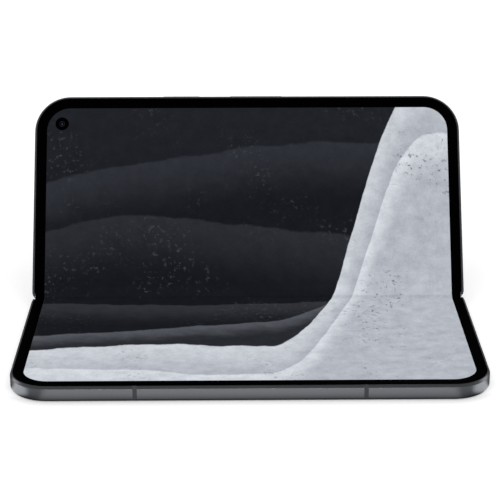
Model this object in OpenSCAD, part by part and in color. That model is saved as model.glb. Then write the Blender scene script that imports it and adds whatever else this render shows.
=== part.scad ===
// Book-style folding phone, half open: one half lies on its cover glass and the other stands behind it.
// Lengths are in millimetres. X runs along the hinge, Y towards the hinge and Z up. The origin is the
// middle of the lying half's underside.
//
// Each half is drawn flat with its display up: x along the hinge, y from the fold line to the outer
// edge, z = 0 on the display border and z = -half_thickness at the back. The hinge spine is drawn flat
// too, with y = 0 on the fold line. base_place, spine_place and lid_place then fold them.

/* [Halves] */
// Length of each half along the hinge
hinge_length = 155.2; // [125:0.1:190]
// Depth of each half, from the fold to its outer edge
half_depth = 75; // [62:0.5:92]
// Thickness of each half, without the camera bump
half_thickness = 5.1; // [4.9:0.1:6.5]
// Radius of the outer corners, seen from above
corner_radius = 13; // [8:0.5:16]
// Width of the metal rim
rim_width = 2.6; // [2.2:0.1:3.4]
// Width and height of the bevel round the display side
bevel_in = 0.5; // [0.2:0.05:0.7]
bevel_drop = 0.85; // [0.4:0.05:1]
// Width and height of the bevel round the back
back_bevel_in = 0.5; // [0.2:0.05:0.7]
back_bevel_drop = 0.7; // [0.4:0.05:1]
// Radius that eases the edges of both bevels
edge_radius = 0.15; // [0.05:0.05:0.2]
// Thickness of the metal plate under the display
chassis_thickness = 0.4; // [0.3:0.05:0.6]
// Width of the plastic antenna breaks in the rim
break_width = 1.4; // [0.8:0.1:2]
// Distance of the antenna breaks from the middle
break_x = 36.7; // [25:0.1:45]

/* [Display] */
// Metal left visible outside the display border
border_inset = 1; // [0.8:0.05:1.4]
// Width of the black display border
border_width = 3.15; // [2.4:0.05:4]
// Depth of the display below its border
display_recess = 0.3; // [0.2:0.05:0.4]
// Thickness of the folding display and its backing
display_thickness = 0.7; // [0.5:0.05:0.8]
// Length of the curved stretch of display on each side of the fold
fold_reach = 2.4; // [2:0.1:3]
// Diameter of the inner camera's hole
inner_hole_d = 4.9; // [4:0.1:6]
// Distance of the inner camera from the short edge and from the long outer edge
inner_camera_side = 9.9; // [8.5:0.1:14]
inner_camera_edge = 10.2; // [8.5:0.1:14]

/* [Back glass] */
// Thickness of the cover glass and the rear glass
glass_thickness = 0.6; // [0.45:0.05:0.7]
// Distance of the glass from the outer edges
glass_inset = 1.3; // [1:0.05:1.6]
// Width of the metal strip beside the hinge
back_strip = 6.25; // [5.5:0.05:8]

/* [Hinge] */
// Turn of each hinge axis from flat, 0 when open flat and 90 when shut
fold_angle = 29.7; // [0:0.1:89]
// Distance of each hinge axis from the fold line
axis_offset = 1.35; // [1.3:0.05:1.6]
// Depth of the hinge axes below the display border
axis_depth = 1.2; // [1.2:0.05:1.3]
// Gap between the two halves when flat
fold_gap = 0.5; // [0.4:0.05:0.8]
// Thickness of the metal skin behind the spine
skin_thickness = 0.45; // [0.35:0.05:0.5]
// Wall of the spine cover
spine_wall = 0.4; // [0.3:0.05:0.5]
// Distance of the two hinge modules from the middle
module_x = 50; // [35:1:58]
// Width and thickness of the curved ribs that turn in the hinge blocks
rib_width = 4; // [3:0.1:4.2]
rib_thickness = 0.6; // [0.4:0.05:0.7]
// Width of the synchronising gears
gear_width = 3; // [2:0.1:3.4]
// Teeth on each synchronising gear
gear_teeth = 8; // [8:2:10]
// Radius of the gear shafts
shaft_radius = 0.3; // [0.2:0.02:0.34]

/* [Buttons] */
// Length of the power button and distance of its middle from the middle of the edge
power_length = 14; // [10:0.1:18]
power_x = -24.1; // [-28:0.1:-20]
// Length of the volume rocker and distance of its middle from the middle of the edge
volume_length = 19.7; // [14:0.1:25]
volume_x = 3.25; // [-2:0.05:8]
// Height of the buttons across the rim
button_height = 2; // [1.6:0.1:2.4]
// How far the buttons stand out of the rim
button_proud = 0.35; // [0.2:0.05:0.5]

/* [Rear cameras] */
// Size of the camera bump along the hinge, across it, and how far it stands out
bump_length = 36; // [34:0.5:42]
bump_width = 42; // [38:0.5:46]
bump_height = 2.3; // [1.8:0.1:3]
// Corner radius of the bump
bump_corner = 9; // [5:0.5:11]
// Distance of the bump from the short edge and from the long outer edge
bump_side = 6; // [5.5:0.1:9]
bump_edge = 6.25; // [5.5:0.05:9]
// Radius of the two lens windows, and the distance between their middle lines
window_radius = 6.3; // [5.5:0.1:7]
window_spacing = 17.3; // [15:0.1:19]
// Distance between the two lenses under one window
lens_spacing = 19; // [16:0.5:22]
// Radius of a rear lens barrel
lens_radius = 4; // [3:0.1:4.6]

/* [Ports] */
// Width and height of the charging port's mouth
port_width = 8.94; // [8:0.02:10]
port_height = 3.16; // [2.6:0.02:3.2]
// Depth of the charging port's shell
port_depth = 7.5; // [6:0.1:9]
// Diameter, spacing and number of the loudspeaker holes
sound_hole_d = 1.2; // [0.8:0.1:1.6]
sound_hole_pitch = 1.9; // [1.8:0.1:2.6]
sound_holes = 5; // [3:1:6]
// Width and thickness of the SIM tray
tray_width = 12; // [10:0.5:14]
tray_thickness = 1; // [0.7:0.1:1.2]

/* [Inside] */
// Distance of the battery's ends from the two short edges
battery_head = 48.6; // [46:0.1:60]
battery_foot = 30.6; // [29:0.1:40]
// Thickness of the circuit boards
board_thickness = 0.6; // [0.4:0.1:0.8]
// Inner and outer radius of the charging coil
coil_inner = 11; // [8:0.5:13]
coil_outer = 20; // [16:0.5:22]
// Diameter of the bracket screws
screw_d = 1.1; // [0.8:0.1:1.3]

/* [Clearances] */
// Gap between fixed pieces that lie side by side
seat_gap = 0.05; // [0.03:0.01:0.08]
// Gap between pieces that slide or turn past each other
running_gap = 0.1; // [0.08:0.01:0.12]
// Radial clearance of the gears on their shafts, and of the ribs in their grooves
pivot_gap = 0.05; // [0.03:0.01:0.08]

/* [Hidden] */
$fn = 96;
MARGIN = 1; // how far a cutting shape passes the surface it cuts

half_x = hinge_length / 2;
near_edge = fold_gap / 2;
far_edge = near_edge + half_depth;
back_z = -half_thickness;

// Levels, from the display border down to the back
display_z = -display_recess;
seat_z = display_z - display_thickness;
bay_top = seat_z - chassis_thickness;
glass_z = back_z + glass_thickness;
glass_seat_z = glass_z + seat_gap;
middle_z = back_z / 2 - 0.1;

// Hinge: radius of the spine about each axis, and of the room that each half leaves for it
spine_radius = half_thickness - axis_depth - skin_thickness - running_gap;
spine_inner = spine_radius - spine_wall;
room_radius = spine_radius + running_gap;
block_radius = spine_inner - seat_gap;
spine_half = half_x - rim_width - 0.15;
cap_thickness = 1;
room_edge = axis_offset + room_radius;
end_round = axis_offset - 0.15;
spine_top_z = -axis_depth - 0.9;
wall_top_z = -axis_depth - 0.4;
cap_top_z = seat_z - 0.15;
end_nose = 3;
end_nose_in = 1.3;
nose_radius = (end_nose * end_nose + end_nose_in * end_nose_in) / (2 * end_nose_in);
nose_wall_in = end_nose_in + 0.3;
nose_wall_length = 2;

// Brackets that carry the ribs
bracket_top = seat_z - seat_gap;
bracket_bottom = spine_top_z + running_gap;
bracket_edge = near_edge + 10.25;
bar_edge = bracket_edge + 1;
rib_outer = block_radius - 0.22 - 2 * pivot_gap;
rib_inner = rib_outer - rib_thickness;
bracket_start = axis_offset + rib_inner + 0.15;

// Synchronising gears: the reach is the distance of the outer gears' shafts from the hinge axes
tip_factor = 1.19;
root_factor = 0.74;
gear_reach = (spine_inner - running_gap - tip_factor * axis_offset / 3) / (1 + tip_factor * sin(45) / 3);
gear_y = axis_offset + gear_reach * sin(45);
gear_z = -axis_depth - gear_reach * sin(45);
pitch_radius = gear_y / 3;
tip_radius = pitch_radius * tip_factor;
root_radius = pitch_radius * root_factor;
bay_half = gear_width / 2 + running_gap;
bay_wall = 1;

// Pin on the end of each arm, and the curved slot it rides in
pin_radius = 0.3;
pin_y = near_edge + 8.05;
pin_z = bracket_bottom + 0.3;
slot_y = pin_y - gear_reach * sin(45);
slot_z = pin_z + gear_reach * sin(45);
slot_half = pin_radius + 0.12;
cheek_width = 1.2;
pin_grip = 0.9; // length of the pin in each cheek
cheek_bottom = slot_z - gear_reach - slot_half - 0.35;
window_half = gear_width / 2 + 0.15;
window_edge = pin_y + 0.8;
slot_reach = window_half + pin_grip + running_gap;
slot_turn = 45 + asin(slot_half / gear_reach);

// Places along each hinge module, from its middle
module_half = 12.5;
base_ribs = [-5, 5];
lid_ribs = [-9.8, 9.8];
screw_places = [-7.4, 7.4];
screw_y = near_edge + 8.75;

// Fold of the display at this opening
fold_sink = (axis_depth - display_recess - axis_offset * sin(fold_angle)) / cos(fold_angle) - axis_depth;
fold_start = axis_offset - (axis_offset - (axis_depth - display_recess) * sin(fold_angle)) / cos(fold_angle);
fold_radius = fold_angle > 1 ? fold_reach / tan(fold_angle) : 150;
fold_middle_z = fold_sink + fold_radius / cos(fold_angle);
panel_edge = fold_start + fold_reach + seat_gap;

// Outlines inside the rim
panel_inset = rim_width + seat_gap;
glass_edge = near_edge + back_strip;
bay_edge = bar_edge + 0.3;
bay_far = far_edge - rim_width - 0.3;
magnet_depth = 1;

// Battery, boards and cameras
battery_x0 = -half_x + battery_head;
battery_x1 = half_x - battery_foot;
camera_x = -half_x + inner_camera_side;
camera_y = far_edge - inner_camera_edge;
bump_x = -half_x + bump_side + bump_length / 2;
bump_y = far_edge - bump_edge - bump_width / 2;
window_x = [bump_x - window_spacing / 2, bump_x + window_spacing / 2];
lens_y = [bump_y + lens_spacing / 2, bump_y - lens_spacing / 2];
sensor_half = lens_radius + 0.5;
sensor_z = glass_seat_z + 0.1;
window_thickness = 0.8;
window_recess = 0.1;
window_z = back_z - bump_height + window_recess;
battery_gap = 0.1;
coil_thickness = 0.25;
board_end = battery_x0 - 2;
board_start = -half_x + rim_width + 2;
port_y = near_edge + half_depth / 2;
speaker_y = bay_edge + 7.5;
motor_y = bay_far - 12;
tray_y = near_edge + half_depth * 0.68;
tray_length = 15;
cover_camera_x = -half_x + 8.8;
cover_camera_y = near_edge + half_depth / 2;
earpiece_y = (cover_camera_y + far_edge - corner_radius) / 2 + 1.75;
cover_panel_thickness = 0.7;
button_room = 0.12;
button_depth = 2.3;
flange_out = 0.6;
flange_thickness = 0.5;
switch_gap = 0.3;

METAL = [0.42, 0.44, 0.46];
STEEL = [0.62, 0.63, 0.65];
BLACK = [0.04, 0.04, 0.05];
GLASS = [0.1, 0.11, 0.13];
PLASTIC = [0.25, 0.26, 0.28];
BOARD = [0.05, 0.2, 0.12];
CELL = [0.16, 0.17, 0.18];
COPPER = [0.7, 0.42, 0.25];

// ---- Placing ----

module base_place() {
    translate([0, half_depth / 2 + near_edge, half_thickness]) mirror([0, 1, 0]) children();
}

module spine_place() {
    translate([0, half_depth / 2 + near_edge - axis_offset, half_thickness - axis_depth])
        rotate([fold_angle, 0, 0])
            translate([0, axis_offset, axis_depth]) children();
}

module lid_place() {
    spine_place() about_axis(fold_angle) children();
}

// Turns something drawn flat about the lid's hinge axis
module about_axis(angle) {
    translate([0, axis_offset, -axis_depth])
        rotate([angle, 0, 0])
            translate([0, -axis_offset, axis_depth]) children();
}

// ---- Basic forms ----

module box(x0, x1, y0, y1, z0, z1) {
    translate([x0, y0, z0]) cube([x1 - x0, y1 - y0, z1 - z0]);
}

module rod_x(radius, x0, x1, y, z) {
    translate([x0, y, z]) rotate([0, 90, 0]) cylinder(r = radius, h = x1 - x0);
}

// Part of a ring about the X direction, from an angle that is 0 straight down and grows towards +Y
module arc_x(inner, outer, start, angle, x0, x1) {
    rotate([0, 90, 0]) rotate([0, 0, start]) rotate_extrude(angle = angle)
        translate([inner, x0]) square([outer - inner, x1 - x0]);
}

// Flat piece with rounded ends, long in x
module pill_x(length, radius, x, y, z0, z1) {
    for (side = [-1, 1])
        translate([x + side * (length / 2 - radius), y, z0]) cylinder(r = radius, h = z1 - z0);
    box(x - length / 2 + radius, x + length / 2 - radius, y - radius, y + radius, z0, z1);
}

// Flat piece with rounded ends, long in y
module pill_y(length, radius, x, y, z0, z1) {
    for (side = [-1, 1])
        translate([x, y + side * (length / 2 - radius), z0]) cylinder(r = radius, h = z1 - z0);
    box(x - radius, x + radius, y - length / 2 + radius, y + length / 2 - radius, z0, z1);
}

// Flat plate inside the rim, with two rounded outer corners
module plate(inset, start, z0, z1) {
    side = half_x - inset;
    far = far_edge - inset;
    radius = corner_radius - inset;
    box(-side, side, start, far - radius, z0, z1);
    box(-side + radius, side - radius, far - radius - MARGIN, far, z0, z1);
    for (end = [-1, 1])
        translate([end * (side - radius), far - radius, z0]) cylinder(r = radius, h = z1 - z0);
}

// Sweeps a section round the three outer sides of a half. A point of the section is its distance in
// from the outer edge and its height.
module sweep_edges(section, start) {
    far = far_edge - corner_radius;
    for (side = [0, 1])
        mirror([side, 0, 0]) {
            translate([0, far, 0]) rotate([90, 0, 0]) linear_extrude(far - start)
                polygon([for (p = section) [half_x - p[0], p[1]]]);
            translate([half_x - corner_radius, far, 0]) rotate_extrude(angle = 90)
                polygon([for (p = section) [corner_radius - p[0], p[1]]]);
        }
    rotate([90, 0, 90]) linear_extrude(2 * (half_x - corner_radius), center = true)
        polygon([for (p = section) [far_edge - p[0], p[1]]]);
}

function turned(p, angle) = [p[0] * cos(angle) - p[1] * sin(angle), p[0] * sin(angle) + p[1] * cos(angle)];

// Points that ease the corner b of a section, between its neighbours a and c
function eased(a, b, c) =
    let (
        to_a = (a - b) / norm(a - b),
        to_c = (c - b) / norm(c - b),
        half = acos(to_a * to_c) / 2,
        side = sign(to_a[0] * to_c[1] - to_a[1] * to_c[0]),
        centre = b + (to_a + to_c) / norm(to_a + to_c) * edge_radius / sin(half),
        first = b + to_a * edge_radius / tan(half) - centre
    )
    [for (i = [0 : 3]) centre + turned(first, -side * (180 - 2 * half) * i / 3)];

rim_face = [
    [border_inset, 0], [bevel_in, 0], [0, -bevel_drop], [0, back_z + back_bevel_drop],
    [back_bevel_in, back_z], [glass_inset, back_z]
];
rim_section = concat(
    [rim_face[0]],
    [for (i = [1 : 4]) each eased(rim_face[i - 1], rim_face[i], rim_face[i + 1])],
    [
        rim_face[5], [glass_inset, glass_seat_z], [rim_width, glass_seat_z], [rim_width, seat_z],
        [border_inset, seat_z]
    ]
);

// ---- Frames ----

// Everything the spine sweeps through, cut from a half
module spine_room() {
    reach = half_x - rim_width;
    rod_x(room_radius, -reach, reach, axis_offset, -axis_depth);
    box(-reach, reach, -MARGIN, room_edge, -axis_depth, MARGIN);
    box(-reach, reach, -MARGIN, axis_offset, back_z + skin_thickness, MARGIN);
}

// Rounds the end of a half beside the fold, so that it turns without crossing the fold line
module fold_edge_rounding() {
    difference() {
        box(-half_x - MARGIN, half_x + MARGIN, -MARGIN, axis_offset, -axis_depth, MARGIN);
        rod_x(end_round, -half_x - 2 * MARGIN, half_x + 2 * MARGIN, axis_offset, -axis_depth);
    }
}

// Draws the side of a half in a little where it meets the fold
module fold_corner_rounding() {
    for (side = [0, 1])
        mirror([side, 0, 0])
            difference() {
                box(half_x - nose_radius, half_x + MARGIN, -MARGIN, near_edge + end_nose, back_z - MARGIN,
                    MARGIN);
                translate([half_x - nose_radius, near_edge + end_nose, back_z - 2 * MARGIN])
                    cylinder(r = nose_radius, h = half_thickness + 4 * MARGIN);
            }
}

// Wall that follows the drawn-in side, so that the rim keeps its width up to the fold
module fold_corner_wall(room, x1, y0, z0, z1) {
    for (side = [0, 1])
        mirror([side, 0, 0])
            difference() {
                box(half_x - nose_wall_in - room, x1, y0, near_edge + nose_wall_length + room, z0, z1);
                translate([half_x - nose_radius, near_edge + end_nose, z0 - MARGIN])
                    cylinder(r = nose_radius - border_inset - room, h = z1 - z0 + 2 * MARGIN);
            }
}

// Pockets for one hinge module's bracket, its screws and the arm
module bracket_pockets() {
    for (place = [-module_x, module_x])
        translate([place, 0, 0]) {
            box(-module_half - seat_gap, module_half + seat_gap, room_edge - MARGIN,
                bracket_edge + seat_gap, bracket_bottom, MARGIN);
            box(-window_half - cheek_width - seat_gap, window_half + cheek_width + seat_gap,
                room_edge - MARGIN, window_edge + 0.4, cheek_bottom - seat_gap, MARGIN);
            for (x = screw_places)
                translate([x, screw_y, bracket_bottom - 1.6]) cylinder(d = screw_d + 0.02, h = 3);
        }
}

module frame_blank() {
    difference() {
        union() {
            sweep_edges(rim_section, near_edge);
            fold_corner_wall(0, half_x - border_inset + 0.1, near_edge, seat_z - 0.2, 0);
            plate(rim_width - 0.2, room_edge - 0.3, bay_top, seat_z);
            box(-half_x + glass_inset + 0.3, half_x - glass_inset - 0.3, near_edge, glass_edge, back_z,
                back_z + skin_thickness);
            box(-half_x + rim_width - 0.2, half_x - rim_width + 0.2, axis_offset, bar_edge,
                glass_seat_z, seat_z);
            box(-half_x + rim_width - 0.2, half_x - rim_width + 0.2, axis_offset, glass_edge, back_z, seat_z);
            for (side = [0, 1])
                mirror([side, 0, 0])
                    box(half_x - rim_width, half_x - glass_inset + 0.3, near_edge, glass_edge, back_z,
                        glass_seat_z + 0.2);
        }
        spine_room();
        fold_edge_rounding();
        fold_corner_rounding();
        bracket_pockets();
        break_slots();
    }
}

module break_slots() {
    for (x = [-break_x, break_x])
        box(x - break_width / 2, x + break_width / 2, far_edge - rim_width, far_edge + MARGIN,
            back_z - MARGIN, MARGIN);
}

module antenna_breaks() {
    color(PLASTIC)
        for (x = [-break_x, break_x])
            translate([x, 0, 0]) rotate([90, 0, 90]) linear_extrude(break_width, center = true)
                polygon([for (p = rim_section) [far_edge - p[0], p[1]]]);
}

module base_frame() {
    base_place() color(METAL) difference() {
        frame_blank();
        tray_mouth();
        earpiece_slot();
    }
}

module tray_mouth() {
    translate([0, tray_y, middle_z]) rotate([0, 90, 0])
        pill_y(tray_width + 2 + 2 * running_gap, tray_thickness / 2 + 0.35 + running_gap, 0, 0,
            half_x - rim_width - MARGIN, half_x + MARGIN);
}

module earpiece_slot() {
    translate([0, earpiece_y, middle_z]) rotate([0, 90, 0])
        pill_y(9, 0.45, 0, 0, -half_x - MARGIN, -half_x + rim_width + MARGIN);
}

module lid_frame() {
    lid_place() color(METAL) difference() {
        frame_blank();
        port_mouth();
        sound_hole_row(1, speaker_y);
        sound_hole_row(-1, speaker_y + 4);
        button_slot(power_x, power_length);
        button_slot(volume_x, volume_length);
        translate([camera_x, camera_y, bay_top - MARGIN]) cylinder(d = inner_hole_d, h = 3);
        box(half_x - port_depth - 0.8, half_x - rim_width - 0.5, port_y - port_width / 2 - 0.2,
            port_y + port_width / 2 + 0.2, bay_top - MARGIN, MARGIN);
    }
}

module port_mouth() {
    translate([0, port_y, middle_z]) rotate([0, 90, 0])
        pill_y(port_width + 2 * seat_gap, port_height / 2 + seat_gap, 0, 0,
            half_x - rim_width - MARGIN, half_x + MARGIN);
}

module sound_hole_row(end, row_y) {
    for (i = [0 : sound_holes - 1])
        translate([end * (half_x - rim_width - MARGIN), row_y + (i - (sound_holes - 1) / 2) * sound_hole_pitch, middle_z])
            rotate([0, end * 90, 0]) cylinder(d = sound_hole_d, h = rim_width + 2 * MARGIN);
}

// Slot through the rim for a button, with a wider pocket inside for its flange
module button_slot(x, length) {
    translate([x, far_edge + MARGIN, middle_z]) rotate([90, 0, 0])
        pill_x(length + 2 * button_room, button_height / 2 + button_room, 0, 0, 0, rim_width + 2 * MARGIN);
    box(x - length / 2 - flange_out - button_room, x + length / 2 + flange_out + button_room,
        far_edge - rim_width - MARGIN, far_edge - button_depth + flange_thickness + button_room,
        middle_z - button_height / 2 - 0.25, middle_z + button_height / 2 + 0.25);
}

// ---- Display and its border ----

border_section = [
    [border_inset + seat_gap, 0], [border_inset + border_width, 0],
    [border_inset + border_width, display_z + 0.02], [rim_width, display_z + 0.02],
    [rim_width, seat_z], [border_inset + seat_gap, seat_z]
];

module border() {
    color(BLACK) sweep_edges(border_section, panel_edge);
}

module display_panel() {
    color(GLASS) plate(panel_inset, panel_edge, seat_z, display_z);
}

module lid_display_panel() {
    lid_place() color(GLASS) difference() {
        plate(panel_inset, panel_edge, seat_z, display_z);
        translate([camera_x, camera_y, seat_z - MARGIN]) cylinder(d = inner_hole_d, h = 3);
    }
}

module display_fold() {
    reach = half_x - panel_inset;
    spine_place() color(GLASS) translate([0, 0, fold_middle_z])
        arc_x(fold_radius, fold_radius + display_thickness, -fold_angle, 2 * fold_angle, -reach, reach);
}

// Flexible border strips across the fold
module fold_trims() {
    outer = half_x - border_inset - seat_gap;
    spine_place() color(BLACK) difference() {
        for (side = [0, 1])
            mirror([side, 0, 0]) translate([0, 0, fold_middle_z])
                arc_x(fold_radius - display_recess, fold_radius - 0.02, -fold_angle, 2 * fold_angle,
                    outer + seat_gap - border_width, outer);
        for (side = [0, 1])
            mirror([0, side, 0]) intersection() {
                box(-half_x, half_x, -seat_gap, half_thickness, -half_thickness, half_thickness);
                about_axis(fold_angle)
                    fold_corner_wall(seat_gap, half_x, -MARGIN, -half_thickness, half_thickness);
            }
    }
}

// ---- Glass and cover display ----

module cover_glass() {
    base_place() color(GLASS) plate(glass_inset + seat_gap, glass_edge + seat_gap, back_z, glass_z);
}

module cover_display_panel() {
    base_place() color(BLACK) difference() {
        plate(panel_inset + 0.1, bay_edge, glass_z, glass_z + cover_panel_thickness);
        translate([cover_camera_x, cover_camera_y, back_z]) cylinder(r = 2.4, h = 3);
    }
}

module rear_glass() {
    lid_place() color(GLASS) difference() {
        plate(glass_inset + seat_gap, glass_edge + seat_gap, back_z, glass_z);
        bump_plug(seat_gap, back_z - MARGIN, glass_z + MARGIN);
    }
}

// ---- Rear cameras ----

// Rounded rectangle about the bump's middle, drawn in from the bump's outline
module bump_slab(inset, z0, z1) {
    length = bump_length - 2 * inset;
    width = bump_width - 2 * inset;
    radius = bump_corner - inset;
    translate([bump_x, bump_y, z0]) {
        translate([-length / 2 + radius, -width / 2, 0]) cube([length - 2 * radius, width, z1 - z0]);
        translate([-length / 2, -width / 2 + radius, 0]) cube([length, width - 2 * radius, z1 - z0]);
        for (x = [-1, 1], y = [-1, 1])
            translate([x * (length / 2 - radius), y * (width / 2 - radius), 0])
                cylinder(r = radius, h = z1 - z0);
    }
}

// Part of the bump that passes through the rear glass
module bump_plug(grow, z0, z1) {
    bump_slab(2 - grow, z0, z1);
}

module camera_bump() {
    lid_place() color(METAL) difference() {
        union() {
            bump_slab(0.8, back_z - bump_height, back_z - bump_height + 0.5);
            bump_slab(0.35, back_z - bump_height + 0.3, back_z - bump_height + 1.1);
            bump_slab(0, back_z - bump_height + 0.9, back_z);
            bump_plug(0, back_z - 0.1, glass_z);
        }
        for (x = window_x) {
            pill_y(lens_spacing + 2 * window_radius, window_radius, x, bump_y,
                back_z - bump_height - MARGIN, window_z + window_thickness);
            for (y = lens_y)
                translate([x, y, window_z]) cylinder(r = lens_radius + 0.3, h = half_thickness);
        }
    }
}

module camera_windows() {
    lid_place() color(BLACK)
        for (x = window_x)
            pill_y(lens_spacing + 2 * (window_radius - seat_gap), window_radius - seat_gap, x, bump_y,
                window_z, window_z + window_thickness);
}

// Barrel behind a window and a square sensor housing inside the lid
module rear_camera(x, y, radius) {
    lid_place() color(CELL) {
        difference() {
            translate([x, y, window_z + window_thickness])
                cylinder(r = radius, h = sensor_z - window_z - window_thickness);
            translate([x, y, window_z + window_thickness - MARGIN]) cylinder(r = radius * 0.6, h = 1.4);
        }
        box(x - sensor_half, x + sensor_half, y - sensor_half, y + sensor_half, sensor_z, bay_top - 0.1);
        translate([x, y, window_z + window_thickness + 0.4])
            cylinder(r1 = radius * 0.35, r2 = radius * 0.6, h = 0.4);
    }
}

module flash() {
    lid_place() color("white") {
        translate([window_x[1], lens_y[1], window_z + window_thickness]) cylinder(r = 2, h = 1.2);
        translate([window_x[1], lens_y[1], window_z + window_thickness + 1.1])
            cylinder(r = 2.6, h = sensor_z - window_z - window_thickness - 0.8);
    }
}

module inner_camera() {
    lid_place() color(CELL) {
        translate([camera_x, camera_y, bay_top - 0.5])
            cylinder(r = inner_hole_d / 2 - 0.25, h = display_z - 0.15 - bay_top + 0.5);
        translate([camera_x - 2.2, camera_y - 2.2, bay_top - 2]) cube([4.4, 4.4, 1.7]);
    }
}

module cover_camera() {
    base_place() color(CELL) {
        translate([cover_camera_x, cover_camera_y, glass_z]) cylinder(r = 2.1, h = 1.5);
        box(cover_camera_x - 2.9, cover_camera_x + 2.9, cover_camera_y - 2.9, cover_camera_y + 2.9,
            glass_z + 1.3, bay_top - 0.1);
    }
}

// ---- Electronics ----

module battery(floor_z) {
    color(CELL) difference() {
        box(battery_x0, battery_x1, bay_edge + 0.5, bay_far - magnet_depth - 0.2, floor_z,
            bay_top - battery_gap);
        for (x = [battery_x0, battery_x1])
            box(x - 0.4, x + 0.4, bay_edge, bay_far, bay_top - battery_gap - 0.3, MARGIN);
    }
}

module lid_battery() {
    lid_place() battery(glass_z + coil_thickness + 0.2);
}

module base_battery() {
    base_place() battery(glass_z + cover_panel_thickness + 0.1);
}

// Board beside the battery, clear of the rounded corner
module board_blank() {
    corner = far_edge - corner_radius - 1;
    box(board_start, board_end, bay_edge, corner, bay_top - 0.1 - board_thickness, bay_top - 0.1);
    box(board_start + corner_radius, board_end, corner - MARGIN, bay_far - magnet_depth - 0.2,
        bay_top - 0.1 - board_thickness, bay_top - 0.1);
}

module main_board() {
    lid_place() color(BOARD) difference() {
        board_blank();
        for (x = window_x, y = lens_y)
            box(x - sensor_half - 0.2, x + sensor_half + 0.2, y - sensor_half - 0.2, y + sensor_half + 0.2,
                back_z, MARGIN);
        box(camera_x - 2.5, camera_x + 2.5, camera_y - 2.5, camera_y + 2.5, back_z, MARGIN);
    }
}

module board_shield() {
    top = bay_top - 0.1 - board_thickness;
    x0 = board_start + 1;
    x1 = board_end - 1;
    y1 = lens_y[1] - sensor_half - 1;
    lid_place() color(STEEL) difference() {
        box(x0, x1, bay_edge + 1, y1, top - 1.3, top);
        box(x0 + 0.2, x1 - 0.2, bay_edge + 1.2, y1 - 0.2, top - 1.1, top + MARGIN);
    }
}

module base_board() {
    base_place() color(BOARD) difference() {
        board_blank();
        box(cover_camera_x - 3.2, cover_camera_x + 3.2, cover_camera_y - 3.2, cover_camera_y + 3.2,
            back_z, MARGIN);
        box(-half_x, -half_x + rim_width + 9, earpiece_y - 7, earpiece_y + 7, back_z, MARGIN);
    }
}

module earpiece_speaker() {
    base_place() color(BLACK)
        box(-half_x + rim_width + 0.2, -half_x + rim_width + 8.5, earpiece_y - 6.5, earpiece_y + 6.5,
            glass_z + cover_panel_thickness + 0.1, bay_top - 0.1);
}

module loudspeaker() {
    lid_place() color(BLACK)
        box(battery_x1 + 3, half_x - rim_width - 0.2, bay_edge + 0.5, speaker_y + 7, glass_z + 0.1,
            bay_top - 0.1);
}

module vibration_motor() {
    lid_place() color(STEEL)
        box(battery_x1 + 3, battery_x1 + 19, motor_y - 4, motor_y + 4, glass_z + 0.2, bay_top - 0.1);
}

// Open metal shell with its tongue
module usb_port() {
    wall = 0.3;
    lid_place() color(STEEL) translate([0, port_y, middle_z]) rotate([0, 90, 0]) {
        difference() {
            pill_y(port_width, port_height / 2, 0, 0, half_x - port_depth, half_x - 0.3);
            pill_y(port_width - 2 * wall, port_height / 2 - wall, 0, 0, half_x - port_depth + 1, half_x);
        }
        translate([-0.35, -3.3, half_x - port_depth + 0.5]) cube([0.7, 6.6, port_depth - 1.8]);
    }
}

module charging_coil() {
    lid_place() color(COPPER) translate([battery_x0 + 38, near_edge + half_depth * 0.56, glass_z + 0.05])
        difference() {
            cylinder(r = coil_outer, h = coil_thickness);
            translate([0, 0, -MARGIN]) cylinder(r = coil_inner, h = 3);
        }
}

module magnets() {
    color(STEEL)
        for (x = [-1, 1])
            box(x * 48 - 7, x * 48 + 7, bay_far - magnet_depth, bay_far, bay_top - 1.9, bay_top - 0.1);
}

module sim_reader() {
    base_place() color(STEEL) difference() {
        box(half_x - rim_width - tray_length - 1, half_x - rim_width - 0.1, tray_y - tray_width / 2 - 0.7,
            tray_y + tray_width / 2 + 0.7, middle_z - tray_thickness / 2 - 0.4,
            middle_z + tray_thickness / 2 + 0.4);
        box(half_x - rim_width - tray_length - 0.5, half_x, tray_y - tray_width / 2 - running_gap,
            tray_y + tray_width / 2 + running_gap, middle_z - tray_thickness / 2 - running_gap,
            middle_z + tray_thickness / 2 + running_gap);
    }
}

module sim_tray() {
    base_place() color(METAL) difference() {
        union() {
            box(half_x - rim_width - tray_length, half_x - 1, tray_y - tray_width / 2, tray_y + tray_width / 2,
                middle_z - tray_thickness / 2, middle_z + tray_thickness / 2);
            translate([0, tray_y, middle_z]) rotate([0, 90, 0])
                pill_y(tray_width + 2, tray_thickness / 2 + 0.35, 0, 0, half_x - rim_width + 0.3, half_x);
        }
        box(half_x - rim_width - tray_length + 1, half_x - rim_width - 2, tray_y - 4.6, tray_y + 4.6,
            middle_z - tray_thickness / 2 + 0.2, MARGIN);
        translate([half_x - rim_width, tray_y + tray_width / 2 + 0.1, middle_z])
            rotate([0, 90, 0]) cylinder(r = 0.4, h = 5);
    }
}

// ---- Buttons ----

// Rounded cap that passes through the rim, with a flange that keeps it in
module button_cap(x, length) {
    lid_place() color(METAL) {
        translate([x, far_edge + button_proud, middle_z]) rotate([90, 0, 0])
            pill_x(length, button_height / 2, 0, 0, 0, button_depth + button_proud);
        box(x - length / 2 - flange_out, x + length / 2 + flange_out, far_edge - button_depth,
            far_edge - button_depth + flange_thickness - switch_gap, middle_z - button_height / 2 + 0.1,
            middle_z + button_height / 2 - 0.1);
    }
}

module button_switches() {
    back = far_edge - button_depth - switch_gap;
    lid_place() color(STEEL)
        for (place = [power_x, volume_x - volume_length * 0.3, volume_x + volume_length * 0.3])
            translate([place, back, middle_z]) rotate([90, 0, 0]) {
                cylinder(r1 = 0.5, r2 = 0.9, h = 0.3);
                translate([-1.5, -0.9, 0.25]) cube([3, 1.8, 0.3]);
            }
}

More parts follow.
